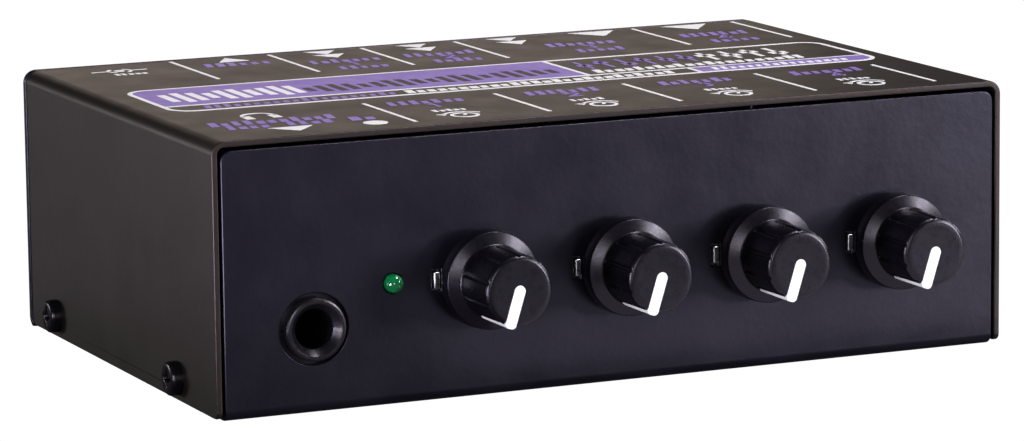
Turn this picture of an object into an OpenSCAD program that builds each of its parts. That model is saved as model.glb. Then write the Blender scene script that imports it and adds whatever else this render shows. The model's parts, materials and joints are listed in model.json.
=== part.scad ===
// Four channel desktop line mixer: folded steel case, four level knobs and a
// headphone socket in front, phono, jack and power sockets behind.
// Origin: centre of the underside. Front faces -Y, top is +Z, +X is to the
// right when the front is seen.

/* [Case] */
// Width across the outside of the cover
case_w = 140; // [120:1:180]
// Depth from the front panel face to the rear panel face
case_d = 91.2; // [84:0.2:120]
// Height from the underside to the top of the cover
case_h = 44.5; // [40:0.5:60]
// Sheet thickness of the cover
cover_t = 1.0; // [0.8:0.1:1.5]
// Sheet thickness of the chassis
chassis_t = 1.2; // [0.8:0.1:2]
// Outside radius of the cover's two top bends
cover_bend = 2.2; // [1.2:0.1:4]
// Outside radius of the chassis bends
chassis_bend = 1.8; // [1.4:0.1:3]
// Side gap between the front panel and the cover
panel_gap = 0.5; // [0.3:0.1:1]
// Height of the cover's lower edge above the underside
cover_lift = 0.5; // [0:0.1:1]
// Distance from the cover's rear edge to the rear panel face
rear_reveal = 2.0; // [1.4:0.1:4]

/* [Front panel] */
// Height of the knob axes above the underside
axis_z = 19.55; // [17:0.05:24]
// Position of the first knob axis
knob_x0 = -24.6; // [-30:0.1:-20]
// Spacing of the knob axes
knob_pitch = 24.7; // [20:0.1:26]
// Distance of each locating tab to the left of its knob axis
tab_off = 7.8; // [7:0.1:8.2]
// Position of the headphone socket
phones_x = -53.4; // [-58:0.1:-50]
// Height of the large jack axes
jack_z = 13.6; // [13:0.1:16]
// Position of the power light
led_x = -39.9; // [-44:0.1:-36]
// Height of the power light
led_z = 19.75; // [17:0.05:24]

/* [Knobs] */
// Largest radius of the skirt
skirt_r = 8.05; // [7.6:0.05:9]
// Radius of the body where it meets the skirt
body_r = 5.8; // [5.6:0.05:6.5]
// Radius of the cap edge
cap_r = 5.7; // [5:0.05:5.8]
// Height of the skirt's lower edge above the panel
knob_lift = 2.2; // [1.5:0.1:2.2]
// Height of the cap face above the panel
knob_top = 14.9; // [13.6:0.1:18]
// Number of grooves round the body
grooves = 10; // [6:1:16]
// Radius of a groove
groove_r = 0.55; // [0.3:0.05:0.8]
// Angle of the pointer from straight down, towards the left, at rest
pointer_angle = 17.5; // [0:0.5:40]
// Width of the white pointer strip
pointer_w = 1.9; // [1.4:0.05:3]
// Radius of the pot shaft
shaft_r = 3.0; // [3:0.05:3.2]

/* [Sockets] */
// Bore radius of the large jacks, for a 6.35 mm plug
jack_bore_r = 3.25; // [3.23:0.01:3.4]
// Outside radius of the large jack nose
jack_nose_r = 5.05; // [5:0.05:5.6]
// Panel hole radius for the large jacks
jack_hole_r = 5.75; // [5.3:0.05:6]
// Outside radius of a phono shell
phono_r = 4.15; // [4.1:0.01:4.2]
// Distance between the two phono sockets of a stacked pair
phono_rise = 14; // [13:0.5:16]
// Height of the lower phono socket
phono_z = 16.5; // [16:0.5:18]
// Radius of the power inlet's centre pin
dc_pin_r = 1.0; // [0.95:0.01:1.05]

/* [Side screws] */
// Height of the side screws
screw_z = 4.2; // [4:0.1:5]
// Position of the front pair
screw_y_front = -28.2; // [-34:0.1:-20]
// Position of the rear pair
screw_y_rear = 30.6; // [20:0.1:34]

/* [Hidden] */
$fn = 64;
hw = case_w / 2;
hd = case_d / 2;
front_y = -hd;
rear_y = hd;
front_in = front_y + chassis_t;
rear_in = rear_y - chassis_t;
cover_rear = rear_y - rear_reveal;
panel_hw = hw - cover_t - panel_gap;
panel_top = case_h - cover_t - 0.6;
flange_x = hw - cover_t;
flange_h = 9;
flange_hd = 38;
relief_w = 1.2;
relief_l = 2.6;
board_z = 7.2;
board_t = 1.6;
board_hw = 64.5;
board_hd = 43.2;
post_pos = [[-58, -14], [58, -14], [-46, 24], [59, 13]];
dc_x = -55.5;
dc_z = 13.7;
mini_x = -34.2;
mini_z = 11.0;
phono_x = [-16.6, 0.9, 18.4];
rear_jack_x = [36.0, 54.5];
jack_len = 24;
jack_body_w = 15.6;
jack_body_h = 13.4;
pot_r = 8.4;
pot_plate_t = 1.4;
wafer_t = 1.2;
can_h = 6.4;
can_wall = 0.7;
bushing_r = 3.5;
bushing_l = 5.0;
washer_t = 0.5;
nut_t = 1.9;
nut_r = 5.77;
screw_r = 1.5;
screw_head_r = 2.8;
led_r = 1.5;
tab_slot_w = 1.6;
tab_slot_h = 3.5;
dc_nose_r = 4.1;
mini_nose_r = 3.0;
phono_collar_r = 4.9;
knob_turns = [for (i = [0:3]) knob_x0 + i * knob_pitch];
shoulder_z = knob_lift + 2.4;
foot_z = knob_lift + 3.1;
rib_r = cap_r + 0.4;
cap_round = 0.85;

// ---- helpers ----

// Extrudes a Y-Z outline from x0 to x1
module along_x(x0, x1) {
  translate([x0, 0, 0])
    rotate([90, 0, 90])
      linear_extrude(x1 - x0)
        children();
}

// Extrudes an X-Z outline from y0 to y1
module along_y(y0, y1) {
  translate([0, y1, 0])
    rotate([90, 0, 0])
      linear_extrude(y1 - y0)
        children();
}

// Local frame on the front panel: z outwards, x right, y up
module on_front(x, z) {
  translate([x, front_y, z])
    rotate([90, 0, 0])
      children();
}

// Local frame on the rear panel: z outwards, y up
module on_rear(x, z) {
  translate([x, rear_y, z])
    rotate([-90, 180, 0])
      children();
}

module block(x0, x1, y0, y1, z0, z1) {
  translate([x0, y0, z0])
    cube([x1 - x0, y1 - y0, z1 - z0]);
}

module tube(r_out, r_in, h) {
  difference() {
    cylinder(r = r_out, h = h);
    translate([0, 0, -0.1])
      cylinder(r = r_in, h = h + 0.2);
  }
}

// Rectangle from a to b, rounded with ro at its two lower corners
module tray_outline(half, top, ro) {
  translate([-half + ro, 0])
    square([2 * half - 2 * ro, top]);
  translate([-half, ro])
    square([2 * half, top - ro]);
  for (s = [-1, 1])
    translate([s * (half - ro), ro])
      circle(r = ro);
}

// Rectangle rounded with r at its two upper corners
module lid_outline(half, bottom, top, r) {
  translate([-half + r, bottom])
    square([2 * half - 2 * r, top - bottom]);
  translate([-half, bottom])
    square([2 * half, top - bottom - r]);
  for (s = [-1, 1])
    translate([s * (half - r), top - r])
      circle(r = r);
}

// Sheet bent up at both ends
module folded_sheet(half, top, t, ro) {
  difference() {
    tray_outline(half, top, ro);
    translate([0, t])
      tray_outline(half - t, top, ro - t);
  }
}

// ---- case ----

// Round hole through a panel, in the panel's own frame
module panel_hole(r) {
  translate([0, 0, -3])
    cylinder(r = r, h = 5);
}

module front_cutouts() {
  on_front(phones_x, jack_z)
    panel_hole(jack_hole_r);
  on_front(led_x, led_z)
    panel_hole(led_r + 0.1);
  for (x = knob_turns) {
    on_front(x, axis_z)
      panel_hole(bushing_r + 0.1);
    on_front(x - tab_off, axis_z)
      translate([-tab_slot_w / 2, -tab_slot_h / 2, -3])
        cube([tab_slot_w, tab_slot_h, 5]);
  }
}

module rear_cutouts() {
  on_rear(dc_x, dc_z)
    panel_hole(dc_nose_r + 0.2);
  on_rear(mini_x, mini_z)
    panel_hole(mini_nose_r + 0.2);
  for (x = phono_x)
    for (k = [0, 1])
      on_rear(x, phono_z + k * phono_rise)
        panel_hole(phono_collar_r + 0.2);
  for (x = rear_jack_x)
    on_rear(x, jack_z)
      panel_hole(jack_hole_r);
}

module chassis() {
  color([0.09, 0.09, 0.11])
    difference() {
      union() {
        intersection() {
          along_x(-panel_hw, panel_hw)
            folded_sheet(hd, panel_top, chassis_t, chassis_bend);
          along_y(front_y - 1, rear_y - chassis_bend)
            lid_outline(panel_hw, -1, panel_top, 1.8);
        }
        intersection() {
          along_x(-hw, hw)
            folded_sheet(hd, case_h, chassis_t, chassis_bend);
          along_y(rear_y - chassis_bend, rear_y + 1)
            lid_outline(hw, -1, case_h - 0.05, cover_bend);
        }
        along_y(-flange_hd, flange_hd)
          folded_sheet(flange_x, flange_h, chassis_t, chassis_bend);
      }
      for (s = [-1, 1])
        for (t = [-1, 1])
          translate([s * flange_x, t * (flange_hd + relief_w / 2), 0])
            cube([2 * relief_l, relief_w, 8], center = true);
      front_cutouts();
      rear_cutouts();
      for (y = [screw_y_front, screw_y_rear])
        for (s = [-1, 1])
          translate([s * flange_x, y, screw_z])
            rotate([0, 90, 0])
              cylinder(r = 1.95, h = 4, center = true);
      for (p = post_pos)
        translate([p[0], p[1], -1])
          cylinder(r = 2.1, h = 4);
    }
}

module cover() {
  color([0.16, 0.14, 0.13])
    difference() {
      intersection() {
        along_y(front_y, cover_rear)
          difference() {
            lid_outline(hw, 0, case_h, cover_bend);
            lid_outline(hw - cover_t, -1, case_h - cover_t, cover_bend - cover_t);
          }
        along_x(-hw - 1, hw + 1)
          translate([(front_y + cover_rear) / 2, cover_lift])
            tray_outline((cover_rear - front_y) / 2, case_h, 1.2);
      }
      for (y = [screw_y_front, screw_y_rear])
        translate([0, y, screw_z])
          rotate([0, 90, 0])
            cylinder(r = 1.7, h = case_w + 4, center = true);
    }
}

// Pan head machine screw: head up along +z, seated at z = 0
module pan_screw(head_r, head_h, shank_r, shank_l) {
  difference() {
    union() {
      rotate_extrude()
        polygon([
          [0, 0], [head_r - 0.1, 0], [head_r, 0.1], [head_r, head_h - 0.6],
          [head_r - 0.08, head_h - 0.32], [head_r - 0.26, head_h - 0.12],
          [head_r - 0.5, head_h - 0.03], [head_r - 1.2, head_h], [0, head_h]
        ]);
      translate([0, 0, -shank_l])
        cylinder(r = shank_r, h = shank_l + 0.1);
    }
    for (a = [0, 90])
      rotate([0, 0, a])
        translate([-head_r * 0.6, -head_r * 0.14, head_h * 0.42])
          cube([head_r * 1.2, head_r * 0.28, head_h]);
    translate([0, 0, head_h * 0.3])
      cylinder(r1 = 0.25, r2 = head_r * 0.36, h = head_h * 0.75);
  }
}

module cover_screws() {
  color([0.07, 0.07, 0.08])
    for (y = [screw_y_front, screw_y_rear])
      for (s = [-1, 1])
        translate([s * hw, y, screw_z])
          rotate([0, s * 90, 0])
            pan_screw(screw_head_r, 1.95, screw_r, 5);
}

module clinch_nuts() {
  color([0.7, 0.71, 0.73])
    for (y = [screw_y_front, screw_y_rear])
      for (s = [-1, 1])
        translate([s * (flange_x - chassis_t), y, screw_z])
          rotate([0, -s * 90, 0])
            difference() {
              union() {
                cylinder(r = 2.38, h = 1.9);
                translate([0, 0, -chassis_t])
                  cylinder(r = 1.93, h = chassis_t + 0.1);
              }
              translate([0, 0, -3])
                cylinder(r = screw_r + 0.03, h = 8);
            }
}

module board_posts() {
  color([0.72, 0.73, 0.75])
    for (p = post_pos)
      translate([p[0], p[1], 0])
        difference() {
          union() {
            translate([0, 0, 0.1])
              cylinder(r = 2.08, h = 2);
            translate([0, 0, chassis_t])
              cylinder(r = 2.9, h = board_z - board_t - chassis_t, $fn = 6);
          }
          translate([0, 0, 1.6])
            cylinder(r = screw_r + 0.03, h = 10);
        }
}

module board_screws() {
  color([0.75, 0.75, 0.77])
    for (p = post_pos)
      translate([p[0], p[1], board_z])
        pan_screw(screw_head_r - 0.1, 1.7, screw_r - 0.02, 5);
}

module main_board() {
  color([0.05, 0.28, 0.14])
    difference() {
      block(-board_hw, board_hw, -board_hd, board_hd, board_z - board_t, board_z);
      for (p = post_pos)
        translate([p[0], p[1], 0])
          cylinder(r = 1.65, h = 20);
    }
}

// ---- level controls ----

module pot_plates() {
  color([0.74, 0.75, 0.77])
    for (x = knob_turns)
      on_front(x, axis_z)
        difference() {
          union() {
            translate([0, 0, -chassis_t - pot_plate_t])
              cylinder(r = pot_r, h = pot_plate_t);
            translate([0, 0, -chassis_t - 0.1])
              cylinder(r = bushing_r, h = bushing_l + 0.1);
            translate([-tab_off - 0.5, -1.35, -chassis_t - 0.2])
              cube([1.0, 2.7, chassis_t + 0.45]);
            for (s = [-1, 1])
              translate([s * 6.6 - 0.6, board_z - axis_z, -chassis_t - pot_plate_t])
                cube([1.2, axis_z - board_z - 3, pot_plate_t - 0.4]);
          }
          translate([0, 0, -6])
            cylinder(r = shaft_r + 0.03, h = 14);
        }
}

module pot_wafers() {
  color([0.45, 0.28, 0.12])
    for (x = knob_turns)
      on_front(x, axis_z)
        translate([0, 0, -chassis_t - pot_plate_t - wafer_t])
          difference() {
            union() {
              cylinder(r = pot_r - 0.4, h = wafer_t);
              translate([-6, board_z - axis_z + 1.6, 0])
                cube([12, 6, wafer_t]);
              for (k = [-1, 0, 1])
                translate([k * 5 - 0.4, board_z - axis_z, 0.4])
                  cube([0.8, 2, 0.4]);
            }
            translate([0, 0, -1])
              cylinder(r = 4.2, h = 4);
          }
}

module pot_cans() {
  color([0.66, 0.66, 0.68])
    for (x = knob_turns)
      on_front(x, axis_z)
        translate([0, 0, -chassis_t - pot_plate_t - wafer_t - can_h])
          difference() {
            cylinder(r = pot_r, h = can_h);
            translate([0, 0, can_wall])
              cylinder(r = pot_r - can_wall, h = can_h);
          }
}

module pot_washers() {
  color([0.62, 0.62, 0.64])
    for (x = knob_turns)
      on_front(x, axis_z)
        tube(5.6, bushing_r + 0.05, washer_t);
}

module pot_nuts() {
  color([0.68, 0.68, 0.70])
    for (x = knob_turns)
      on_front(x, axis_z)
        translate([0, 0, washer_t])
          difference() {
            cylinder(r = nut_r, h = nut_t, $fn = 6);
            translate([0, 0, -1])
              cylinder(r = bushing_r + 0.02, h = 4);
          }
}

module pot_shaft(i) {
  color([0.70, 0.70, 0.72])
    on_front(knob_turns[i], axis_z)
      rotate([0, 0, -pointer_angle]) {
        difference() {
          translate([0, 0, -5.0])
            cylinder(r = shaft_r, h = 17.2);
          translate([-4, 1.5, 5.0])
            cube([8, 4, 10]);
          translate([-4, -0.5, 10.2])
            cube([8, 1, 5]);
        }
        difference() {
          translate([0, 0, -5.6])
            cylinder(r = 6.4, h = 1.2);
          translate([2.4, 2.2, -6])
            cylinder(r = 0.7, h = 3);
        }
        translate([0, 0, -8.0])
          cylinder(r = 1.5, h = 3);
      }
}

// Solid of revolution of the knob without grooves
module knob_envelope() {
  rotate_extrude()
    polygon([
      [0, knob_lift], [skirt_r - 0.2, knob_lift], [skirt_r, knob_lift + 0.2],
      [skirt_r - 0.17, shoulder_z - 0.15], [skirt_r - 0.21, shoulder_z - 0.04],
      [skirt_r - 0.3, shoulder_z + 0.02], [body_r + 0.15, foot_z - 0.1], [body_r, foot_z + 0.05],
      [cap_r, knob_top - cap_round], [cap_r - 0.07, knob_top - 0.52],
      [cap_r - 0.25, knob_top - 0.25], [cap_r - 0.52, knob_top - 0.07],
      [cap_r - cap_round, knob_top], [0, knob_top]
    ]);
}

// Straight round-bottomed grooves, leaning with the taper of the body
module knob_grooves() {
  lean = atan((body_r - cap_r) / (knob_top - foot_z));
  for (i = [0:grooves - 1])
    rotate([0, 0, 90 + (i + 0.5) * 360 / grooves])
      translate([body_r + 0.1, 0, foot_z + 0.5])
        rotate([0, -lean, 0])
          cylinder(r = groove_r, h = 12);
}

// Outline of the pointer as the front is seen: round inner end, rounded outer corners
module pointer_outline() {
  half = pointer_w / 2;
  corner_r = 0.7;
  circle(r = half);
  translate([-half, corner_r - rib_r])
    square([pointer_w, rib_r - corner_r]);
  translate([corner_r - half, -rib_r])
    square([pointer_w - 2 * corner_r, corner_r + 0.1]);
  for (s = [-1, 1])
    translate([s * (half - corner_r), corner_r - rib_r])
      circle(r = corner_r);
}

// White strip that runs from the cap centre over the edge and down the side as a rib
module pointer_strip() {
  proud = 0.05;
  depth = 0.6;
  rib_in = 5.1;
  rib_foot = foot_z + 0.1;
  translate([0, 0, knob_top - depth])
    linear_extrude(depth + proud)
      pointer_outline();
  intersection() {
    translate([0, 0, rib_foot])
      linear_extrude(knob_top - depth - rib_foot + 0.1)
        pointer_outline();
    translate([-pointer_w, -rib_r - 1, 0])
      cube([2 * pointer_w, rib_r + 1 - rib_in, 30]);
  }
}

module knob(i) {
  recess_r = 6.7;
  recess_top = knob_lift + 1.2;
  bushing_recess_r = 4.2;
  bushing_recess_top = knob_lift + 2.1;
  bore_top = 12.4;
  color([0.06, 0.06, 0.07])
    on_front(knob_turns[i], axis_z)
      rotate([0, 0, -pointer_angle])
        difference() {
          knob_envelope();
          knob_grooves();
          pointer_strip();
          cylinder(r = recess_r, h = recess_top);
          cylinder(r = bushing_recess_r, h = bushing_recess_top);
          difference() {
            cylinder(r = shaft_r + 0.02, h = bore_top);
            translate([-4, 1.53, 5.1])
              cube([8, 4, 10]);
          }
        }
}

module pointer(i) {
  color([0.93, 0.93, 0.92])
    on_front(knob_turns[i], axis_z)
      rotate([0, 0, -pointer_angle])
        pointer_strip();
}

// ---- power light ----

module led_lens() {
  color([0.05, 0.55, 0.25])
    on_front(led_x, led_z) {
      translate([0, 0, 0.4])
        sphere(r = led_r);
      translate([0, 0, -3.4])
        cylinder(r = led_r, h = 3.8);
      translate([0, 0, -4.3])
        cylinder(r = led_r + 0.4, h = 1.0);
    }
}

module led_leads() {
  color([0.78, 0.78, 0.80])
    for (s = [-1, 1])
      on_front(led_x + s * 1.27, led_z) {
        translate([0, 0, -9.7])
          cylinder(r = 0.25, h = 5.4);
        translate([0, 0, -9.7])
          rotate([90, 0, 0])
            cylinder(r = 0.25, h = led_z - board_z);
        translate([0, 0, -9.7])
          sphere(r = 0.25);
      }
}

module led_holder() {
  color([0.08, 0.08, 0.08])
    difference() {
      block(led_x - 2.6, led_x + 2.6, front_y + 4.3, front_y + 9.1, board_z, led_z + 2.3);
      for (s = [-1, 1])
        on_front(led_x + s * 1.27, led_z)
          translate([0, 0, -12])
            cylinder(r = 0.4, h = 10);
    }
}

// ---- sockets ----

// Large jack body in a panel frame: z = 0 on the panel face, outwards
module jack_body() {
  nose_h = 1.15;
  difference() {
    union() {
      rotate_extrude()
        polygon([
          [0, -2], [jack_nose_r, -2], [jack_nose_r, nose_h - 0.32], [jack_nose_r - 0.12, nose_h - 0.1],
          [jack_nose_r - 0.35, nose_h], [4.35, nose_h], [4.25, nose_h - 0.07], [0, nose_h - 0.07]
        ]);
      translate([-jack_body_w / 2, board_z - jack_z, -chassis_t - jack_len])
        cube([jack_body_w, jack_body_h, jack_len]);
    }
    translate([0, 0, -30])
      cylinder(r = jack_bore_r, h = 34);
    translate([0, 0, nose_h - 1.27])
      cylinder(r1 = jack_bore_r, r2 = 4.25, h = 1.25);
    for (s = [-1, 1]) {
      translate([s * 5.5 - 1.3, board_z - jack_z - 1, -20])
        cube([2.6, 10.4, 13]);
      translate([s * 5.5 - 1.3, -3.5, -30])
        cube([2.6, 6, 12]);
    }
  }
}

module jack_spring_set() {
  for (s = [-1, 1]) {
    translate([s * 5.2 - 0.2, board_z - jack_z, -19])
      cube([0.4, 8.2, 2.4]);
    translate([s * 5.2 - 0.2, -2.2, -24.6])
      cube([0.4, 4.4, 8]);
    translate([s * 5.9 - 0.2, board_z - jack_z, -14])
      cube([0.4, 8.0, 4.5]);
  }
}

module phones_housing() {
  color([0.07, 0.07, 0.08])
    on_front(phones_x, jack_z)
      jack_body();
}

module phones_contacts() {
  color([0.76, 0.73, 0.62])
    on_front(phones_x, jack_z)
      jack_spring_set();
}

module rear_jack_housings() {
  color([0.07, 0.07, 0.08])
    for (x = rear_jack_x)
      on_rear(x, jack_z)
        jack_body();
}

module rear_jack_contacts() {
  color([0.76, 0.73, 0.62])
    for (x = rear_jack_x)
      on_rear(x, jack_z)
        jack_spring_set();
}

module mini_jack_housing() {
  color([0.07, 0.07, 0.08])
    on_rear(mini_x, mini_z)
      difference() {
        union() {
          translate([-3.6, board_z - mini_z, -chassis_t - 13])
            cube([7.2, 7.2, 13]);
          translate([0, 0, -1.5])
            cylinder(r = mini_nose_r, h = 2.7);
          translate([0, 0, 1.1])
            cylinder(r1 = mini_nose_r, r2 = mini_nose_r - 0.2, h = 0.2);
        }
        translate([0, 0, -20])
          cylinder(r = 1.81, h = 24);
        translate([0, 0, 0.7])
          cylinder(r1 = 1.81, r2 = 2.4, h = 0.65);
        for (s = [-1, 1])
          translate([s * 2.6 - 0.4, board_z - mini_z - 1, -12])
            cube([0.8, 6.4, 8]);
      }
}

module mini_jack_contacts() {
  color([0.76, 0.73, 0.62])
    on_rear(mini_x, mini_z)
      for (s = [-1, 1])
        for (k = [0, 1])
          translate([s * 2.6 - 0.15, board_z - mini_z, -11.5 + 4.4 * k])
            cube([0.3, 5.0, 1.8]);
}

// Calls its children at every phono socket, level 0 lower, 1 upper
module at_phonos(levels) {
  for (x = phono_x)
    for (k = levels)
      on_rear(x, phono_z + k * phono_rise)
        children();
}

module phono_housings() {
  color([0.06, 0.06, 0.07])
    difference() {
      union() {
        for (x = phono_x)
          block(x - 6.2, x + 6.2, rear_in - 12, rear_in, board_z, phono_z + phono_rise + 6.6);
        at_phonos([0, 1])
          translate([0, 0, -1.3])
            cylinder(r = phono_collar_r, h = 1.9);
      }
      at_phonos([0, 1])
        translate([0, 0, -8.5])
          cylinder(r = phono_r - 0.33, h = 14);
      for (x = phono_x)
        block(x - 4.6, x + 4.6, rear_in - 13, rear_in - 8.8, board_z - 1, phono_z + phono_rise + 5);
    }
}

module phono_shells() {
  color([0.80, 0.80, 0.80])
    at_phonos([0, 1])
      difference() {
        union() {
          translate([0, 0, -8])
            cylinder(r = phono_r - 0.35, h = 9);
          translate([0, 0, 0.6])
            cylinder(r = phono_r, h = 8.4);
          translate([0, 0, 9])
            cylinder(r1 = phono_r, r2 = phono_r - 0.2, h = 0.2);
        }
        translate([0, 0, -9])
          cylinder(r = 3.45, h = 20);
      }
}

module phono_insert() {
  difference() {
    translate([0, 0, -7])
      cylinder(r = 3.43, h = 15.4);
    translate([0, 0, -8])
      cylinder(r = 2.0, h = 20);
    translate([0, 0, 7.9])
      cylinder(r1 = 2.0, r2 = 2.6, h = 0.6);
  }
}

module phono_inserts_white() {
  color([0.90, 0.90, 0.88])
    at_phonos([1])
      phono_insert();
}

module phono_inserts_red() {
  color([0.75, 0.06, 0.06])
    at_phonos([0])
      phono_insert();
}

module phono_contacts() {
  color([0.80, 0.74, 0.50])
    at_phonos([0, 1])
      translate([0, 0, -7])
        tube(1.98, 1.62, 14.6);
}

module dc_housing() {
  color([0.06, 0.06, 0.07])
    on_rear(dc_x, dc_z)
      difference() {
        union() {
          translate([-4.5, board_z - dc_z, -chassis_t - 13])
            cube([9, 11.1, 13]);
          translate([0, 0, -1.5])
            cylinder(r = dc_nose_r, h = 1.8);
        }
        translate([0, 0, -9.5])
          cylinder(r = 2.85, h = 12);
        translate([0, 0, -0.2])
          cylinder(r1 = 2.85, r2 = 3.3, h = 0.55);
        translate([0, 0, -20])
          cylinder(r = dc_pin_r - 0.28, h = 20);
      }
}

module dc_pin() {
  color([0.82, 0.82, 0.80])
    on_rear(dc_x, dc_z) {
      translate([0, 0, -15])
        cylinder(r = dc_pin_r - 0.3, h = 6);
      translate([0, 0, -9.5])
        cylinder(r = dc_pin_r, h = 8.6);
      translate([0, 0, -0.9])
        cylinder(r1 = dc_pin_r, r2 = dc_pin_r - 0.35, h = 0.35);
    }
}

// ---- board parts ----

module op_amps() {
  color([0.08, 0.08, 0.09])
    for (p = [[-14, -18], [12, -18], [38, -18], [2, 12]])
      translate([p[0], p[1], board_z]) {
        translate([-4.9, -3.2, 0.6])
          cube([9.8, 6.4, 3.4]);
        for (k = [-1.5:1:1.5])
          for (s = [-1, 1]) {
            translate([k * 2.54 - 0.3, s * 3.6 - 0.4, 0])
              cube([0.6, 0.8, 2.4]);
          }
      }
}

module electrolytics() {
  color([0.10, 0.11, 0.16])
    for (p = [
      [-54, 2, 4, 11.5], [-44, 2, 4, 11.5], [-44, 13, 3.15, 11], [-34, 4, 3.15, 11],
      [-26, 8, 2.5, 8], [-20, 16, 2.5, 8], [18, 6, 2.5, 8], [26, 8, 2.5, 8],
      [46, 6, 3.15, 11], [-30, -22, 2.5, 8], [-1, -24, 2.5, 8], [25, -24, 2.5, 8]
    ])
      translate([p[0], p[1], board_z]) {
        cylinder(r = p[2], h = 0.8);
        cylinder(r = p[2] - 0.18, h = p[3] - 0.6);
        translate([0, 0, 1.4])
          cylinder(r = p[2], h = p[3] - 1.8);
        translate([0, 0, p[3] - 0.6])
          cylinder(r1 = p[2] - 0.1, r2 = p[2] - 0.5, h = 0.4);
      }
}

module resistors() {
  color([0.72, 0.62, 0.45])
    for (p = [
      [-22, -10], [-22, -6], [-22, -2], [-8, -10], [-8, -6], [-8, -2], [8, -10], [8, -6], [8, -2],
      [22, -10], [22, -6], [22, -2], [36, -10], [36, -6], [36, -2], [-8, 20], [14, 20]
    ])
      translate([p[0], p[1], board_z + 1.3]) {
        rotate([0, 90, 0])
          cylinder(r = 0.95, h = 6.0, center = true);
        for (s = [-1, 1]) {
          translate([s * 2.4, 0, 0])
            rotate([0, 90, 0])
              cylinder(r = 1.15, h = 1.4, center = true);
          translate([s * 5.0, 0, 0])
            sphere(r = 0.3);
          translate([s * 5.0, 0, -1.3])
            cylinder(r = 0.3, h = 1.3);
        }
        rotate([0, 90, 0])
          cylinder(r = 0.3, h = 10, center = true);
      }
}

module regulator() {
  color([0.12, 0.12, 0.13])
    translate([-61, 12, board_z]) {
      translate([0, -5, 4])
        cube([4.4, 10, 9]);
      difference() {
        translate([0, -5, 4])
          cube([1.3, 10, 15.5]);
        translate([-1, 0, 16.4])
          rotate([0, 90, 0])
            cylinder(r = 1.9, h = 4);
      }
      for (k = [-1, 0, 1])
        translate([2.4, k * 2.54 - 0.4, 0])
          cube([0.5, 0.8, 5]);
    }
}

chassis();
cover();
cover_screws();
clinch_nuts();
board_posts();
board_screws();
main_board();
pot_plates();
pot_wafers();
pot_cans();
pot_washers();
pot_nuts();
pot_shaft(0);  // shaft_1
pot_shaft(1);  // shaft_2
pot_shaft(2);  // shaft_3
pot_shaft(3);  // shaft_4
knob(0);  // knob_1
knob(1);  // knob_2
knob(2);  // knob_3
knob(3);  // knob_4
pointer(0);  // pointer_1
pointer(1);  // pointer_2
pointer(2);  // pointer_3
pointer(3);  // pointer_4
led_lens();
led_leads();
led_holder();
phones_housing();
phones_contacts();
rear_jack_housings();
rear_jack_contacts();
mini_jack_housing();
mini_jack_contacts();
phono_housings();
phono_shells();
phono_inserts_white();
phono_inserts_red();
phono_contacts();
dc_housing();
dc_pin();
op_amps();
electrolytics();
resistors();
regulator();
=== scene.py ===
"""Looks of the four channel desktop line mixer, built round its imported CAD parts.

Metres, in the CAD frame: origin at the centre of the underside, front towards -Y, up +Z.
Sizes below are in millimetres and are multiplied by MM where they are used.
"""

import json
import math
import random

import bmesh
import bpy
from mathutils import Matrix, Vector


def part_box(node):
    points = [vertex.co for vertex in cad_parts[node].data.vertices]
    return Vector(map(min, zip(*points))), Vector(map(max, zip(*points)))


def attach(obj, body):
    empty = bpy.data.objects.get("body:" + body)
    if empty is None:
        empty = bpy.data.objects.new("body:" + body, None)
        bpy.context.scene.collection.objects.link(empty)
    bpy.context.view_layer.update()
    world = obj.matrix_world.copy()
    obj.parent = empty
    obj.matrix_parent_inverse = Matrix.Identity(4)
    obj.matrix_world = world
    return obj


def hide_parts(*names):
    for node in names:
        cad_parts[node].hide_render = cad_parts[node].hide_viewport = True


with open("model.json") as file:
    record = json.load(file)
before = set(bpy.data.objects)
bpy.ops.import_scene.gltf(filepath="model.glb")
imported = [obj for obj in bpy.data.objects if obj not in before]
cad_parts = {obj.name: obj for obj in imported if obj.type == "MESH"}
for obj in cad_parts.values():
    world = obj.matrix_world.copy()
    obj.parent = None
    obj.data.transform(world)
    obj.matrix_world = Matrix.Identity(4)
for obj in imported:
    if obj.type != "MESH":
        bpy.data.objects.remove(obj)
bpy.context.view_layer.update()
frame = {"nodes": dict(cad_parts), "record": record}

MM = 0.001
NODES = frame["nodes"]
COVER_LO, COVER_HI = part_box("cover")

# ---------------------------------------------------------------- materials


def node_tree(name):
    """An empty material with its output, and the tree to build in."""
    material = bpy.data.materials.new(name)
    material.use_nodes = True
    tree = material.node_tree
    tree.nodes.clear()
    return material, tree


def noise(tree, per_mm, detail=3.0, rough=0.55, stretch=(1, 1, 1)):
    """Noise in object space with per_mm cells to the millimetre."""
    coordinates = tree.nodes.new("ShaderNodeTexCoord")
    mapping = tree.nodes.new("ShaderNodeMapping")
    mapping.inputs["Scale"].default_value = [per_mm / MM * s for s in stretch]
    texture = tree.nodes.new("ShaderNodeTexNoise")
    texture.inputs["Scale"].default_value = 1.0
    texture.inputs["Detail"].default_value = detail
    texture.inputs["Roughness"].default_value = rough
    tree.links.new(coordinates.outputs["Object"], mapping.inputs["Vector"])
    tree.links.new(mapping.outputs["Vector"], texture.inputs["Vector"])
    return texture.outputs["Fac"]


def ramp(tree, factor, stops):
    """A colour ramp over (position, colour) stops."""
    node = tree.nodes.new("ShaderNodeValToRGB")
    elements = node.color_ramp.elements
    while len(elements) < len(stops):
        elements.new(0.5)
    for element, (position, colour) in zip(elements, stops):
        element.position = position
        element.color = (*colour, 1)
    tree.links.new(factor, node.inputs["Fac"])
    return node.outputs["Color"]


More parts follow.
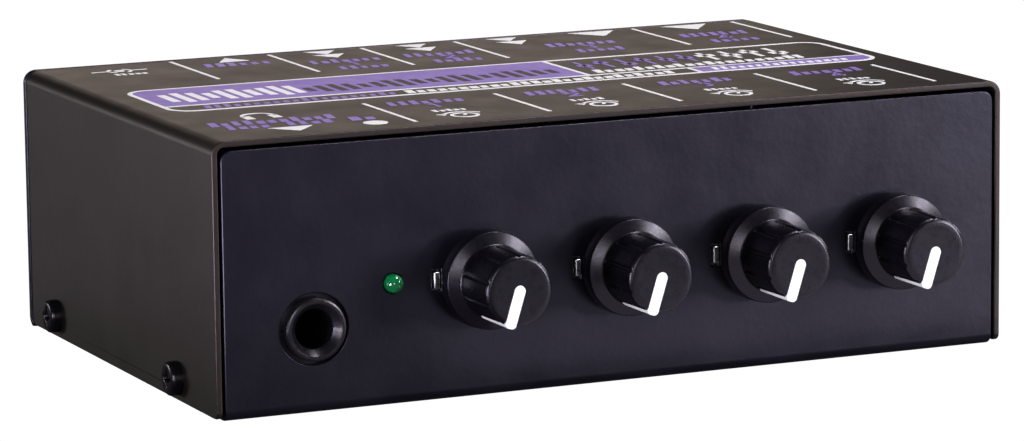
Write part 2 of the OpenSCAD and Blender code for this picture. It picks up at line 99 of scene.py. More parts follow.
def remap(tree, factor, low, high, start=0.3, stop=0.7):
    """The factor's middle range mapped to low..high."""
    node = tree.nodes.new("ShaderNodeMapRange")
    node.inputs["From Min"].default_value = start
    node.inputs["From Max"].default_value = stop
    node.inputs["To Min"].default_value = low
    node.inputs["To Max"].default_value = high
    tree.links.new(factor, node.inputs["Value"])
    return node.outputs["Result"]


def bump(tree, heights):
    """Bump nodes in a row over (factor, depth in mm) pairs."""
    normal = None
    for factor, depth in heights:
        node = tree.nodes.new("ShaderNodeBump")
        node.inputs["Strength"].default_value = 1.0
        node.inputs["Distance"].default_value = depth * MM
        tree.links.new(factor, node.inputs["Height"])
        if normal:
            tree.links.new(normal, node.inputs["Normal"])
        normal = node.outputs["Normal"]
    return normal


def shaded(colour, share):
    """The colour made lighter or darker by a share."""
    return [min(1.0, c * share) for c in colour]


def finish_material(name, colour, rough, metallic=0.0, specular=0.5, spread=0.12, mottle=0.25,
                    grains=((1.5, 0.01),), stretch=(1, 1, 1), coat=0.0, coat_rough=0.1,
                    transmission=0.0, rough_spread=0.06, tint=(1, 1, 1)):
    """Principled finish with mottled colour, uneven roughness and one bump for each grain.

    mottle and grains are in cells to the millimetre; a grain's second number is its depth in mm.
    """
    material, tree = node_tree(name)
    shader = tree.nodes.new("ShaderNodeBsdfPrincipled")
    output = tree.nodes.new("ShaderNodeOutputMaterial")
    tree.links.new(shader.outputs["BSDF"], output.inputs["Surface"])
    shader.inputs["Metallic"].default_value = metallic
    shader.inputs["Specular IOR Level"].default_value = specular
    shader.inputs["IOR"].default_value = 1.5
    shader.inputs["Coat Weight"].default_value = coat
    shader.inputs["Coat Roughness"].default_value = coat_rough
    shader.inputs["Transmission Weight"].default_value = transmission
    shader.inputs["Specular Tint"].default_value = (*tint, 1)
    patches = noise(tree, mottle, detail=4.0)
    stops = [(0.3, shaded(colour, 1 - spread)), (0.7, shaded(colour, 1 + spread))]
    tree.links.new(ramp(tree, patches, stops), shader.inputs["Base Color"])
    uneven = noise(tree, mottle * 2.3)
    worn = remap(tree, uneven, rough - rough_spread, rough + rough_spread)
    tree.links.new(worn, shader.inputs["Roughness"])
    heights = [(noise(tree, per_mm, stretch=stretch), depth) for per_mm, depth in grains]
    tree.links.new(bump(tree, heights), shader.inputs["Normal"])
    return material


# Satin powder coat: a fine tooth over a soft orange peel
POWDER_COAT = dict(spread=0.16, mottle=0.05, grains=((0.55, 0.028), (2.6, 0.008)), rough_spread=0.035)

FINISHES = {
    "chassis_paint": dict(colour=(0.0026, 0.0023, 0.0046), rough=0.32, specular=0.42,
                          tint=(0.84, 0.79, 1.0), **POWDER_COAT),
    "cover_paint": dict(colour=(0.0062, 0.0046, 0.0042), rough=0.40, specular=0.45,
                        tint=(1.0, 0.81, 0.78), **POWDER_COAT),
    "black_screw": dict(colour=(0.0032, 0.0029, 0.0038), rough=0.22, specular=0.38, spread=0.3,
                        mottle=1.2, grains=((4.0, 0.006),), tint=(0.97, 0.90, 1.0)),
    "zinc": dict(colour=(0.62, 0.62, 0.64), rough=0.30, metallic=1.0, spread=0.1, mottle=0.4,
                 grains=((3.0, 0.004),), stretch=(1, 1, 6)),
    "board_green": dict(colour=(0.012, 0.085, 0.035), rough=0.38, spread=0.25,
                        grains=((1.6, 0.02), (7.0, 0.004))),
    "phenolic": dict(colour=(0.20, 0.095, 0.035), rough=0.55, spread=0.22, mottle=0.8,
                     grains=((3.0, 0.01),), stretch=(5, 1, 1)),
    "knob_plastic": dict(colour=(0.0020, 0.0017, 0.0032), rough=0.29, specular=0.38, spread=0.2,
                         mottle=0.5, grains=((7.0, 0.003), (0.9, 0.003)), rough_spread=0.03,
                         tint=(0.92, 0.86, 1.0)),
    "pointer_white": dict(colour=(0.86, 0.86, 0.85), rough=0.35, spread=0.03, mottle=0.6,
                          grains=((2.5, 0.004),)),
    "led_green": dict(colour=(0.005, 0.27, 0.075), rough=0.06, spread=0.25, mottle=0.7,
                      grains=((1.1, 0.002),), transmission=0.55, coat=0.6, coat_rough=0.03,
                      rough_spread=0.02),
    "tinned_wire": dict(colour=(0.66, 0.66, 0.68), rough=0.28, metallic=1.0, grains=((2.0, 0.006),)),
    "socket_black": dict(colour=(0.0040, 0.0038, 0.0050), rough=0.30, spread=0.2, mottle=0.4,
                         grains=((3.5, 0.004),), rough_spread=0.05, tint=(0.95, 0.90, 1.0)),
    "spring_alloy": dict(colour=(0.70, 0.58, 0.34), rough=0.26, metallic=1.0, spread=0.15,
                         mottle=0.9, grains=((2.5, 0.004),), stretch=(1, 5, 1)),
    "nickel_plate": dict(colour=(0.70, 0.68, 0.63), rough=0.17, metallic=1.0, spread=0.08,
                         mottle=0.5, grains=((2.2, 0.002),), stretch=(1, 6, 1), rough_spread=0.05),
    "insert_white": dict(colour=(0.80, 0.80, 0.77), rough=0.36, spread=0.04, mottle=0.8,
                         grains=((3.0, 0.004),)),
    "insert_red": dict(colour=(0.50, 0.020, 0.020), rough=0.34, spread=0.14, mottle=0.8,
                       grains=((3.0, 0.004),)),
    "chip_black": dict(colour=(0.012, 0.012, 0.013), rough=0.5, spread=0.25, mottle=0.9,
                       grains=((5.0, 0.01),)),
    "capacitor_sleeve": dict(colour=(0.012, 0.014, 0.040), rough=0.28, spread=0.2, mottle=0.5,
                             grains=((1.0, 0.006),), coat=0.3),
    "resistor_beige": dict(colour=(0.45, 0.32, 0.17), rough=0.42, spread=0.15, mottle=1.2,
                           grains=((2.5, 0.01),)),
}
MATERIALS = {name: finish_material(name, **finish) for name, finish in FINISHES.items()}
INKS = {
    "white": dict(colour=(0.84, 0.83, 0.82), rough=0.46, spread=0.05, mottle=0.5, grains=((2.2, 0.008),)),
    "lilac": dict(colour=(0.215, 0.142, 0.425), rough=0.44, specular=0.4, spread=0.07, mottle=0.15,
                  grains=((0.55, 0.03), (3.0, 0.006))),
    "dark": dict(colour=(0.022, 0.017, 0.016), rough=0.46, specular=0.4, spread=0.15, mottle=0.4,
                 grains=((2.2, 0.008),)),
}
INK_MATERIALS = {name: finish_material(f"ink_{name}", **ink) for name, ink in INKS.items()}

for entry in frame["record"]["subparts"]:
    node = NODES[entry["node"]]
    node.data.materials.clear()
    node.data.materials.append(MATERIALS[entry["material_slot"]])

# ---------------------------------------------------------------- small edge radii on the CAD parts

EDGE_RADII = {"cover": 0.22, "cover_screws": 0.10, "pot_plates": 0.18, "chassis": 0.26}
CAD_SHARP = math.radians(32)
SAME_PLANE = math.radians(0.5)


def soften(name, width):
    """Rounds a CAD node's sharp edges by width mm, by modifiers only."""
    piece = NODES[name]
    weld = piece.modifiers.new("weld", "WELD")
    weld.merge_threshold = 0.002 * MM
    flat = piece.modifiers.new("flat_faces", "DECIMATE")
    flat.decimate_type = "DISSOLVE"
    flat.angle_limit = SAME_PLANE
    edge = piece.modifiers.new("edge_radius", "BEVEL")
    edge.width = width * MM
    edge.segments = 2
    edge.limit_method = "ANGLE"
    edge.angle_limit = CAD_SHARP
    edge.use_clamp_overlap = False
    edge.harden_normals = False
    shade = piece.modifiers.new("shading", "WEIGHTED_NORMAL")
    shade.keep_sharp = False


for name, radius in EDGE_RADII.items():
    soften(name, radius)

# ---------------------------------------------------------------- mesh helpers

ARC_STEP = 15
MESH_SHARP = math.radians(50)


def object_from(bm, name, material, body, smooth=True):
    """Turns a bmesh into a named piece that rides on a CAD body."""
    bmesh.ops.recalc_face_normals(bm, faces=bm.faces)
    mesh = bpy.data.meshes.new(name)
    bm.to_mesh(mesh)
    bm.free()
    piece = bpy.data.objects.new(name, mesh)
    bpy.context.scene.collection.objects.link(piece)
    mesh.materials.append(material)
    for polygon in mesh.polygons:
        polygon.use_smooth = smooth
    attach(piece, body)
    return piece


def mark_sharp(piece):
    """Keeps edges over MESH_SHARP sharp in an otherwise smooth mesh."""
    mesh = piece.data
    bm = bmesh.new()
    bm.from_mesh(mesh)
    for edge in bm.edges:
        if len(edge.link_faces) == 2 and edge.calc_face_angle(0) > MESH_SHARP:
            edge.smooth = False
    bm.to_mesh(mesh)
    bm.free()


def around(x, y, r, angle):
    """The point at radius r and angle, in radians, round (x, y)."""
    return x + r * math.cos(angle), y + r * math.sin(angle)


def bridge(bm, first, second):
    """Quads between two closed rings of the same length."""
    count = len(first)
    for i in range(count):
        j = (i + 1) % count
        bm.faces.new((first[i], first[j], second[j], second[i]))


# ---------------------------------------------------------------- level knobs

# In the knob's own frame, with z out of the panel and y up. SHAFT_DEPTH is from the panel,
# GROOVE_START from the body's foot, CAP_DISH and the pointer's depths from the cap's face, and
# the other heights from the knob's back.
GROOVES = 10
GROOVE_R = 0.52
GROOVE_OUT = 0.27
GROOVE_START = 0.75
GROOVE_BLEND = 0.05
SHAFT_BORE = 3.05
SHAFT_DEPTH = 12.4
RECESS_R = 6.7
RECESS_DEPTH = 1.2
BUSHING_RECESS_R = 4.2
BUSHING_RECESS_DEPTH = 2.1
SHOULDER_RISE = 2.4
FOOT_RISE = 3.1
BODY_R = 5.8
CAP_R = 5.7
CAP_ROUND = 0.85
CAP_DISH = 0.03
POINTER_ANGLE = math.radians(17.5)
POINTER_W = 1.9
POINTER_PROUD = 0.05
POINTER_DEPTH = 0.55
POINTER_CORNER = 0.7
POINTER_EDGE = 0.05
RIB_FOOT = 3.2
RIB_OUT = 6.1
RIB_IN = 5.1
PANEL_Y = COVER_LO.y / MM

# Angles round the knob, each with its distance from the middle of the nearest groove, in degrees
GROOVE_FINE = [-6.6 + 0.825 * k for k in range(17)]
GROOVE_OFFSETS = [-18, -14.5, -11, -8.5] + GROOVE_FINE + [8.5, 11, 14.5]
KNOB_ANGLES = [(360 / GROOVES * g + d, d) for g in range(GROOVES) for d in GROOVE_OFFSETS]


def smooth_min(a, b, k):
    """The lower of a and b, with the corner between them rounded over k."""
    h = max(0.0, min(1.0, 0.5 + 0.5 * (b - a) / k))
    return b + (a - b) * h - k * h * (1 - h)


def grooved(radius, height, start, lean, away):
    """The radius at an angle away from a groove's middle; the groove's round foot is at start."""
    reach = GROOVE_R**2 - max(0.0, start - height) ** 2
    if reach <= 0:
        return radius
    centre = BODY_R + GROOVE_OUT - (height - start) * lean
    reach -= (centre * math.sin(away)) ** 2
    if reach <= 0:
        return radius
    return smooth_min(radius, centre * math.cos(away) - math.sqrt(reach), GROOVE_BLEND)


def knob_span(index):
    """Heights of the CAD knob's back and top over the panel, and its radius."""
    lo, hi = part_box(f"knob_{index}")
    return PANEL_Y - hi.y / MM, PANEL_Y - lo.y / MM, (hi.x - lo.x) / 2 / MM


def make_knob(index):
    """Skirted knob: a low skirt with a flat shoulder, and a tapered body with ten narrow grooves."""
    lift, top, skirt = knob_span(index)
    shoulder = lift + SHOULDER_RISE
    foot = lift + FOOT_RISE
    start = foot + GROOVE_START
    rim = top - CAP_ROUND
    lean = (BODY_R - CAP_R) / (rim - foot)
    recess = lift + RECESS_DEPTH
    bushing = lift + BUSHING_RECESS_DEPTH
    plain = [
        (SHAFT_BORE, SHAFT_DEPTH), (SHAFT_BORE, bushing), (BUSHING_RECESS_R, bushing),
        (BUSHING_RECESS_R, recess), (RECESS_R - 0.1, recess), (RECESS_R, lift + 1.1),
        (RECESS_R, lift + 0.1), (RECESS_R + 0.1, lift), (skirt - 0.20, lift), (skirt - 0.06, lift + 0.06),
        (skirt, lift + 0.20), (skirt - 0.16, shoulder - 0.2), (skirt - 0.18, shoulder - 0.1),
        (skirt - 0.23, shoulder - 0.03), (skirt - 0.33, shoulder + 0.02), (BODY_R + 0.30, foot - 0.11),
        (BODY_R + 0.16, foot - 0.02), (BODY_R + 0.06, foot + 0.09), (BODY_R, foot + 0.24),
    ]
    heights = [start - 0.4 + 0.08 * k for k in range(6)]
    heights += [start + (rim - start) * k / 8 for k in range(1, 9)]
    bitten = [(BODY_R - (height - foot) * lean, height) for height in heights]
    for k in range(1, 90 // ARC_STEP + 1):
        a = math.radians(ARC_STEP * k)
        bitten.append((CAP_R - CAP_ROUND * (1 - math.cos(a)), rim + CAP_ROUND * math.sin(a)))
    face = [(4.2, top - 0.01), (2.6, top - 0.02), (1.0, top - CAP_DISH)]
    bm = bmesh.new()
    rings = []
    for outline in (plain, bitten, face):
        for radius, height in outline:
            ring = []
            for degrees, away in KNOB_ANGLES:
                r = radius
                if outline is bitten:
                    r = grooved(radius, height, start, lean, math.radians(away))
                ring.append(bm.verts.new((*around(0, 0, r, math.radians(degrees)), height)))
            rings.append(ring)
    for first, second in zip(rings, rings[1:]):
        bridge(bm, first, second)
    for ring, height in ((rings[0], SHAFT_DEPTH), (rings[-1], top - CAP_DISH)):
        middle = bm.verts.new((0, 0, height))
        for i in range(len(ring)):
            bm.faces.new((ring[i], ring[(i + 1) % len(ring)], middle))
    return place_on_knob(bm, index, f"knob_shell_{index}", MATERIALS["knob_plastic"])


def place_on_knob(bm, index, name, material):
    """Moves a bmesh from the knob's own frame to its place on the panel."""
    lo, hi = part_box(f"knob_{index}")
    centre = Vector(((lo.x + hi.x) / 2, COVER_LO.y, (lo.z + hi.z) / 2))
    scale = Matrix.Scale(MM, 4)
    tilt = Matrix.Rotation(math.pi / 2, 4, "X")
    turn = Matrix.Rotation(-POINTER_ANGLE, 4, "Z")
    bm.transform(Matrix.Translation(centre) @ tilt @ turn @ scale)
    return object_from(bm, name, material, f"level_knob_{index}")


def make_pointer(index):
    """White strip: a round-ended bar on the cap, and a rib that runs on from it down the side."""
    lift, top, _ = knob_span(index)
    half = POINTER_W / 2
    # Outline as the front is seen: the outer part goes on into the rib
    outside = [(-half, -RIB_IN)]
    for middle, begin in ((POINTER_CORNER - half, 180), (half - POINTER_CORNER, 270)):
        for k in range(90 // ARC_STEP + 1):
            a = math.radians(begin + ARC_STEP * k)
            outside.append(around(middle, POINTER_CORNER - RIB_OUT, POINTER_CORNER, a))
    outside.append((half, -RIB_IN))
    inside = [around(0, 0, half, math.radians(ARC_STEP * k)) for k in range(180 // ARC_STEP + 1)]
    bm = bmesh.new()

    def ring(points, height):
        return [bm.verts.new((x, y, height)) for x, y in points]

    high = ring(outside + inside, top + POINTER_PROUD)
    low = ring(outside + inside, top - POINTER_DEPTH)
    ends = ring(outside, lift + RIB_FOOT)
    last = len(outside) - 1
    bridge(bm, low, high)
    bm.faces.new(high)
    bm.faces.new(low[last:] + low[:1])
    for k in range(last):
        bm.faces.new((ends[k], ends[k + 1], low[k + 1], low[k]))
    bm.faces.new((ends[-1], ends[0], low[0], low[last]))
    bm.faces.new(ends)
    piece = place_on_knob(bm, index, f"pointer_strip_{index}", MATERIALS["pointer_white"])
    edge = piece.modifiers.new("edge_radius", "BEVEL")
    edge.width = POINTER_EDGE * MM
    edge.segments = 2
    edge.limit_method = "ANGLE"
    edge.angle_limit = MESH_SHARP
    return piece


for i in range(1, 5):
    shell = make_knob(i)
    mark_sharp(shell)
    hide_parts(f"knob_{i}")
    strip = make_pointer(i)
    mark_sharp(strip)
    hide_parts(f"pointer_{i}")

# ---------------------------------------------------------------- legend on the top
# Flat inks, laid out in mm from the cover's left and front edges. Words are rows of plain blocks.
# word() draws from one seeded sequence, so the order of the words below matters.

FILM = 0.03
LAYER = 0.015
SUNK = 0.01
TOP_Z = COVER_HI.z
ROUND_STEPS = 32
ARC_STEPS = 20
DISC_STEPS = 28
CORNER_STEPS = 8
randomness = random.Random(7)

PITCH = 1.9
SLANT = 0.15
DIGIT_H = 3.6
DIGIT_LINE = 0.62
RULE = 0.35


class Legend:
    """Gathers flat shapes of one ink into one mesh."""

    def __init__(self, ink, layer):
        self.ink = ink
        self.bm = bmesh.new()
        self.low = TOP_Z - SUNK * MM
        self.high = TOP_Z + (FILM + LAYER * layer) * MM

    def corners(self, points, height):
        """Mesh corners at points given from the cover's left and front edges."""
        return [self.bm.verts.new((COVER_LO.x + x * MM, COVER_LO.y + y * MM, height)) for x, y in points]

    def patch(self, points):
        """A closed flat shape."""
        low = self.corners(points, self.low)
        high = self.corners(points, self.high)
        bridge(self.bm, low, high)
        self.bm.faces.new(high)
        self.bm.faces.new(list(reversed(low)))

    def band(self, outer, inner):
        """A closed line between two outlines of the same number of points."""
        rings = [self.corners(points, height) for points, height in (
            (outer, self.low), (outer, self.high), (inner, self.high), (inner, self.low))]
        for first, second in zip(rings, rings[1:] + rings[:1]):
            bridge(self.bm, first, second)

    def bar(self, x0, x1, y0, y1, slant=0.0):
        """A block, whose far edge is moved sideways by slant times its height."""
        lean = slant * (y1 - y0)
        self.patch([(x0, y0), (x1, y0), (x1 + lean, y1), (x0 + lean, y1)])

    def upright(self, x, half, y0, y1):
        """A straight bar centred on x."""
        self.bar(x - half, x + half, y0, y1)

    def disc(self, x, y, r):
        self.patch([around(x, y, r, 2 * math.pi * k / DISC_STEPS) for k in range(DISC_STEPS)])

    def circle(self, x, y, r, width):
        angles = [2 * math.pi * k / ROUND_STEPS for k in range(ROUND_STEPS)]
        self.band([around(x, y, r + width / 2, a) for a in angles],
                  [around(x, y, r - width / 2, a) for a in angles])

    def arc(self, x, y, r, width, start, stop):
        """An open arc from start to stop degrees."""
        angles = [math.radians(start + (stop - start) * k / ARC_STEPS) for k in range(ARC_STEPS + 1)]
        outside = [around(x, y, r + width / 2, a) for a in angles]
        inside = [around(x, y, r - width / 2, a) for a in angles]
        self.patch(outside + inside[::-1])

    def line(self, points, width):
        """A polyline of one width, with mitred corners."""
        left = []
        right = []
        for i, (x, y) in enumerate(points):
            ahead = Vector(points[min(i + 1, len(points) - 1)]) - Vector(points[i])
            behind = Vector(points[i]) - Vector(points[max(i - 1, 0)])
            a = (ahead if ahead.length else behind).normalized()
            b = (behind if behind.length else ahead).normalized()
            middle = (a + b).normalized()
            reach = width / 2 / max(0.5, middle.dot(a))
            left.append((x - middle.y * reach, y + middle.x * reach))
            right.append((x + middle.y * reach, y - middle.x * reach))
        self.patch(left + right[::-1])

    def triangle(self, x0, x1, y_base, y_tip):
        """An arrow head with its tip over the middle of its base."""
        self.patch([(x0, y_base), (x1, y_base), ((x0 + x1) / 2, y_tip)])

    def word(self, x0, x1, y0, y1, pitch, slant=0.0, bold=0.62):
        """A row of blocks in place of letters, some of them tall."""
        count = max(2, round((x1 - x0) / pitch))
        step = (x1 - x0) / count
        for k in range(count):
            tall = k == 0 or randomness.random() < 0.3
            height = (y1 - y0) * (1.0 if tall else 0.68)
            width = step * (bold + 0.18 * (randomness.random() - 0.5))
            left = x0 + k * step
            self.bar(left, left + width, y0, y0 + height, slant)

    def numeral(self, digit, x, y):
        """A plain numeral 1 to 4, centred on x, with its foot at y."""
        w = DIGIT_H * 0.3
        h = DIGIT_H
        width = DIGIT_LINE
        if digit == 1:
            self.line([(x - w * 0.7, y + h * 0.78), (x, y + h), (x, y)], width)
        elif digit == 2:
            bowl = [around(x, y + h - w, w, math.radians(165 - 30 * k)) for k in range(7)]
            self.line(bowl + [(x - w, y + width / 2), (x + w, y + width / 2)], width)
        elif digit == 3:
            r = h * 0.27
            self.arc(x - w * 0.1, y + r, r - width / 2, width, -140, 90)
            self.arc(x - w * 0.1, y + h - r, r - width / 2, width, -90, 150)
        else:
            self.line([(x + w * 0.4, y), (x + w * 0.4, y + h), (x - w, y + h * 0.3),
                       (x + w, y + h * 0.3)], width)

    def done(self, name):
        """Turns what was gathered into one piece on the case."""
        object_from(self.bm, name, INK_MATERIALS[self.ink], "case", smooth=False)


def rounded(x0, x1, y0, y1, r, corners=(1, 1, 1, 1)):
    """Outline of a rectangle, with each corner round where corners says so.

    The corners run lower left, lower right, upper right, upper left.
    """
    points = []
    centres = [(x0 + r, y0 + r, 180), (x1 - r, y0 + r, 270), (x1 - r, y1 - r, 0), (x0 + r, y1 - r, 90)]
    square = [(x0, y0), (x1, y0), (x1, y1), (x0, y1)]
    for (cx, cy, start), corner, is_round in zip(centres, square, corners):
        if not is_round:
            points.append(corner)
            continue
        for k in range(CORNER_STEPS + 1):
            points.append(around(cx, cy, r, math.radians(start + 90 * k / CORNER_STEPS)))
    return points


white = Legend("white", 1)
lilac = Legend("lilac", 1)

# Dividing lines behind and in front
for x in (25.8, 44.0, 61.5, 79.3, 114.3, 134.3):
    white.upright(x, RULE, 64.5, 88.0)
for x in (36.4, 59.7, 83.1, 107.7, 130.0):
    white.upright(x, RULE, 4.5, 26.5)

# Rear row: socket arrows and channel labels
white.triangle(33.0, 38.5, 83.2, 87.8)
for x in (53.4, 70.9, 88.4):
    white.triangle(x - 2.9, x + 2.9, 88.0, 84.0)
    white.triangle(x - 2.9, x + 2.9, 83.5, 79.2)
for x in (106.0, 124.5):
    white.triangle(x - 4.5, x + 4.5, 88.0, 82.0)
lilac.word(29.0, 41.5, 78.2, 82.2, 2.0, SLANT)
for digit, x in ((1, 53.3), (2, 70.9), (3, 98.0), (4, 124.3)):
    lilac.word(x - 6.8, x + 6.6, 73.2, 77.2, PITCH, SLANT)
    lilac.numeral(digit, x, 69.0)
    lilac.word(x - 4.8, x + 4.6, 64.8, 68.4, PITCH, SLANT)

# Front row: channel labels and knob symbols
SYMBOL_Y = 7.4
for digit, x in ((1, 46.1), (2, 70.6), (3, 95.0), (4, 119.6)):
    lilac.word(x - 6.8, x + 6.8, 21.6, 25.6, PITCH, SLANT)
    lilac.numeral(digit, x, 17.4)
    white.word(x - 3.0, x + 3.0, 12.6, 14.4, 1.25)
    white.circle(x, SYMBOL_Y, 2.1, 0.6)
    white.line([(x, SYMBOL_Y), (x + 1.1, 9.6)], 0.6)
    white.arc(x, SYMBOL_Y, 3.5, 0.5, 25, 150)
    white.triangle(x - 4.1, x - 2.2, 9.6, 8.0)

# Headphone and power light labels
PHONES_X = 16.5
white.arc(PHONES_X, 22.2, 2.7, 0.6, -10, 190)
for side in (-1, 1):
    white.upright(PHONES_X + side * 2.3, 0.75, 19.4, 22.4)
white.triangle(13.0, 20.5, 9.0, 4.7)
white.disc(30.3, 6.6, 2.0)
lilac.word(5.5, 27.3, 14.2, 18.4, 2.0, SLANT)
lilac.word(7.0, 14.6, 10.2, 13.8, PITCH, SLANT)
lilac.word(17.2, 25.3, 10.2, 13.8, PITCH, SLANT)
lilac.word(27.8, 33.0, 10.2, 13.8, 2.2, SLANT)

# Power inlet polarity: a split ring round the pin, with a line out to each side
INLET_X = 14.2
INLET_Y = 81.7
white.disc(INLET_X, INLET_Y, 0.95)
white.arc(INLET_X, INLET_Y, 2.0, 0.5, -60, 60)
white.arc(INLET_X, INLET_Y, 2.0, 0.5, 120, 240)
white.bar(9.2, 12.1, 81.5, 81.9)
white.bar(16.4, 19.2, 81.5, 81.9)
white.word(12.0, 18.0, 76.6, 78.4, 1.2)

# Title panel: outline, lilac fields, and level bars and faders in place of a name
X0 = 5.8
X1 = 135.2
Y0 = 31.8
Y1 = 57.8
LINE = 0.85
CORNER = 4.2
INNER = CORNER - LINE
SPLIT_X = 82.5
SPLIT_HALF = 0.4
SPLIT_Y = 38.2
STRIP_X = 100.8
white.band(rounded(X0, X1, Y0, Y1, CORNER), rounded(X0 + LINE, X1 - LINE, Y0 + LINE, Y1 - LINE, INNER))
white.bar(X0 + LINE, X1 - LINE, SPLIT_Y - RULE, SPLIT_Y + RULE)
white.upright(SPLIT_X, SPLIT_HALF, SPLIT_Y + RULE, Y1 - LINE)
white.upright(STRIP_X, RULE, Y0 + LINE, SPLIT_Y - RULE)
lilac.patch(rounded(X0 + LINE, SPLIT_X - SPLIT_HALF, SPLIT_Y + RULE, Y1 - LINE, INNER, (0, 0, 0, 1)))
lilac.patch(rounded(STRIP_X + RULE, X1 - LINE, Y0 + LINE, SPLIT_Y - RULE, INNER, (0, 1, 0, 0)))
lilac.word(12.0, 46.0, 33.7, 36.8, 1.7, SLANT)
white.word(47.5, 97.0, 33.7, 36.8, PITCH, 0.1, 0.7)
white.word(85.0, 125.0, 40.2, 43.6, PITCH, 0.1, 0.7)

over_white = Legend("white", 3)
over_dark = Legend("dark", 3)
over_white.word(104.0, 130.0, 33.9, 36.6, 1.6, SLANT)
BAR_STEP = 2.45
for k in range(10):
    x = 9.6 + k * BAR_STEP
    half = 2.4 + 2.8 * abs(math.sin(0.9 * k + 0.6))
    over_white.bar(x, x + 1.45, 46.8 - half, 46.8 + half)
for k in range(19):
    x = 34.0 + k * BAR_STEP
    half = 1.5 + 2.4 * abs(math.sin(0.7 * k + 0.2))
    over_dark.bar(x, x + 1.35, 45.4 - half, 45.4 + half)
SLOT_LOW = 45.2
SLOT_HIGH = 53.6
for k in range(6):
    x = 86.6 + k * 3.9
    lilac.upright(x, 0.35, SLOT_LOW, SLOT_HIGH)
    cap_y = 47.4 + 3.6 * abs(math.sin(1.3 * k + 0.5))
    lilac.upright(x, 1.3, cap_y - 0.9, cap_y + 0.9)
for k in range(4):
    x = 110.2 + k * 4.3
    white.upright(x, 0.45, SLOT_LOW, SLOT_HIGH)
    cap_y = 47.2 + 3.9 * abs(math.sin(1.7 * k + 1.0))
    white.upright(x, 1.6, cap_y - 1.0, cap_y + 1.0)

white.done("legend_white")
lilac.done("legend_lilac")
over_white.done("legend_white_over")
over_dark.done("legend_dark_over")

# ---------------------------------------------------------------- stage, light and camera

FLOOR_HALF = 3.0
DIM_SKY = 0.04
WHITE_BACKDROP = 1.05
CAMERA_PLACE = (-0.3324, -0.7461, 0.1608)
CAMERA_LENS = 171.84
NEAR_WHITE = (0.93, 0.91, 1.0)
SOFT_WHITE = (0.97, 0.95, 1.0)
FRONT = (0.03, -0.05, 0.02)
FRONT_LEFT = (-0.03, -0.05, 0.02)
FRONT_MIDDLE = (0.0, -0.05, 0.02)


def make_floor():
    """A grey floor that lights and is mirrored in the case, but that the camera doesn't see."""
    bm = bmesh.new()
    bmesh.ops.create_grid(bm, x_segments=1, y_segments=1, size=FLOOR_HALF)
    mesh = bpy.data.meshes.new("floor")
    bm.to_mesh(mesh)
    bm.free()
    floor = bpy.data.objects.new("floor", mesh)
    bpy.context.scene.collection.objects.link(floor)
    paper = finish_material("floor_paper", (0.13, 0.122, 0.134), 0.85, specular=0.1, spread=0.01,
                            mottle=0.004, grains=((0.5, 0.01),))
    mesh.materials.append(paper)
    floor.visible_camera = False


def area_light(name, place, aim, width, height, power, colour=(1, 1, 1), glossy=True):
    """A soft box at place, turned to aim."""
    data = bpy.data.lights.new(name, "AREA")
    data.shape = "RECTANGLE"
    data.size = width
    data.size_y = height
    data.energy = power
    data.color = colour
    light = bpy.data.objects.new(name, data)
    light.location = place
    light.rotation_mode = "QUATERNION"
    light.rotation_quaternion = (Vector(aim) - Vector(place)).to_track_quat("-Z", "Y")
    light.visible_glossy = glossy
    light.visible_camera = False
    bpy.context.scene.collection.objects.link(light)


def make_world():
    """White behind the object, and a dim even light on it."""
    world = bpy.data.worlds.new("studio")
    world.use_nodes = True
    tree = world.node_tree
    dim = tree.nodes["Background"]
    dim.inputs["Color"].default_value = (0.95, 0.97, 1.0, 1)
    dim.inputs["Strength"].default_value = DIM_SKY
    white = tree.nodes.new("ShaderNodeBackground")
    white.inputs["Color"].default_value = (1, 1, 1, 1)
    white.inputs["Strength"].default_value = WHITE_BACKDROP
    ray = tree.nodes.new("ShaderNodeLightPath")
    mix = tree.nodes.new("ShaderNodeMixShader")
    tree.links.new(ray.outputs["Is Camera Ray"], mix.inputs["Fac"])
    tree.links.new(dim.outputs["Background"], mix.inputs[1])
    tree.links.new(white.outputs["Background"], mix.inputs[2])
    tree.links.new(mix.outputs["Shader"], tree.nodes["World Output"].inputs["Surface"])
    bpy.context.scene.world = world


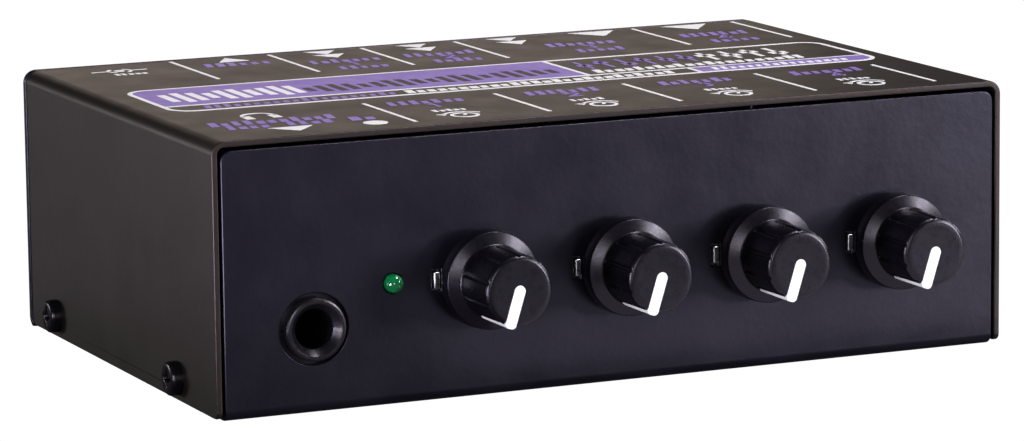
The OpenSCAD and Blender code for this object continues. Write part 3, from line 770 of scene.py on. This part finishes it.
def make_camera():
    """The fitted camera: azimuth and elevation of its line of sight, and a slight roll."""
    azimuth = math.radians(24.09)
    elevation = math.radians(9.81)
    roll = math.radians(-0.675)
    ahead = Vector((math.sin(azimuth) * math.cos(elevation), math.cos(azimuth) * math.cos(elevation),
                    -math.sin(elevation)))
    right = Vector((math.cos(azimuth), -math.sin(azimuth), 0))
    up = right.cross(ahead)
    turned_right = math.cos(roll) * right + math.sin(roll) * up
    turned_up = -math.sin(roll) * right + math.cos(roll) * up
    data = bpy.data.cameras.new("camera")
    data.sensor_width = 36
    data.lens = CAMERA_LENS
    data.clip_start = 0.05
    camera = bpy.data.objects.new("camera", data)
    facing = Matrix((turned_right, turned_up, -ahead)).transposed().to_4x4()
    camera.matrix_world = Matrix.Translation(CAMERA_PLACE) @ facing
    bpy.context.scene.collection.objects.link(camera)
    bpy.context.scene.camera = camera


make_floor()
make_world()
# Name, place, aim, width and height in metres, power in watts, colour
area_light("key_right", (0.60, -0.64, 0.06), FRONT, 0.14, 0.22, 5.2, NEAR_WHITE)
area_light("rim_right", (0.70, -0.56, 0.34), FRONT, 0.24, 0.30, 5.0, (0.95, 0.93, 1.0))
area_light("near_left", (-0.40, -1.10, 0.24), FRONT_MIDDLE, 0.24, 0.42, 3.0, SOFT_WHITE)
area_light("side_right", (0.95, 0.0, 0.36), FRONT, 0.4, 0.4, 3)
area_light("edge_left", (-0.80, -0.36, 0.07), FRONT_LEFT, 0.12, 0.3, 4.0, SOFT_WHITE)
area_light("back_left", (-1.1, 1.25, 0.05), (-0.07, 0.0, 0.02), 0.5, 0.25, 4.3)
area_light("back_wash", (0.30, 1.1, 0.28), (-0.05, 0, 0.04), 0.6, 0.35, 0.52, (1.0, 0.84, 0.70))
area_light("overhead", (0.36, -0.15, 0.80), FRONT_MIDDLE, 0.26, 0.18, 4.5, NEAR_WHITE)
area_light("floor_glow", (0.12, -0.09, 0.002), (0.12, -0.09, 1.0), 0.28, 0.07, 0.038, NEAR_WHITE)
area_light("floor_left", (-0.22, -0.11, 0.002), (-0.22, -0.11, 1.0), 0.20, 0.10, 1.6, (0.86, 0.84, 1.0))
area_light("floor_wash", (0, 0.1, 1.4), (0, 0, 0), 2.0, 2.0, 7, glossy=False)
make_camera()
bpy.context.scene.view_settings.view_transform = "Standard"
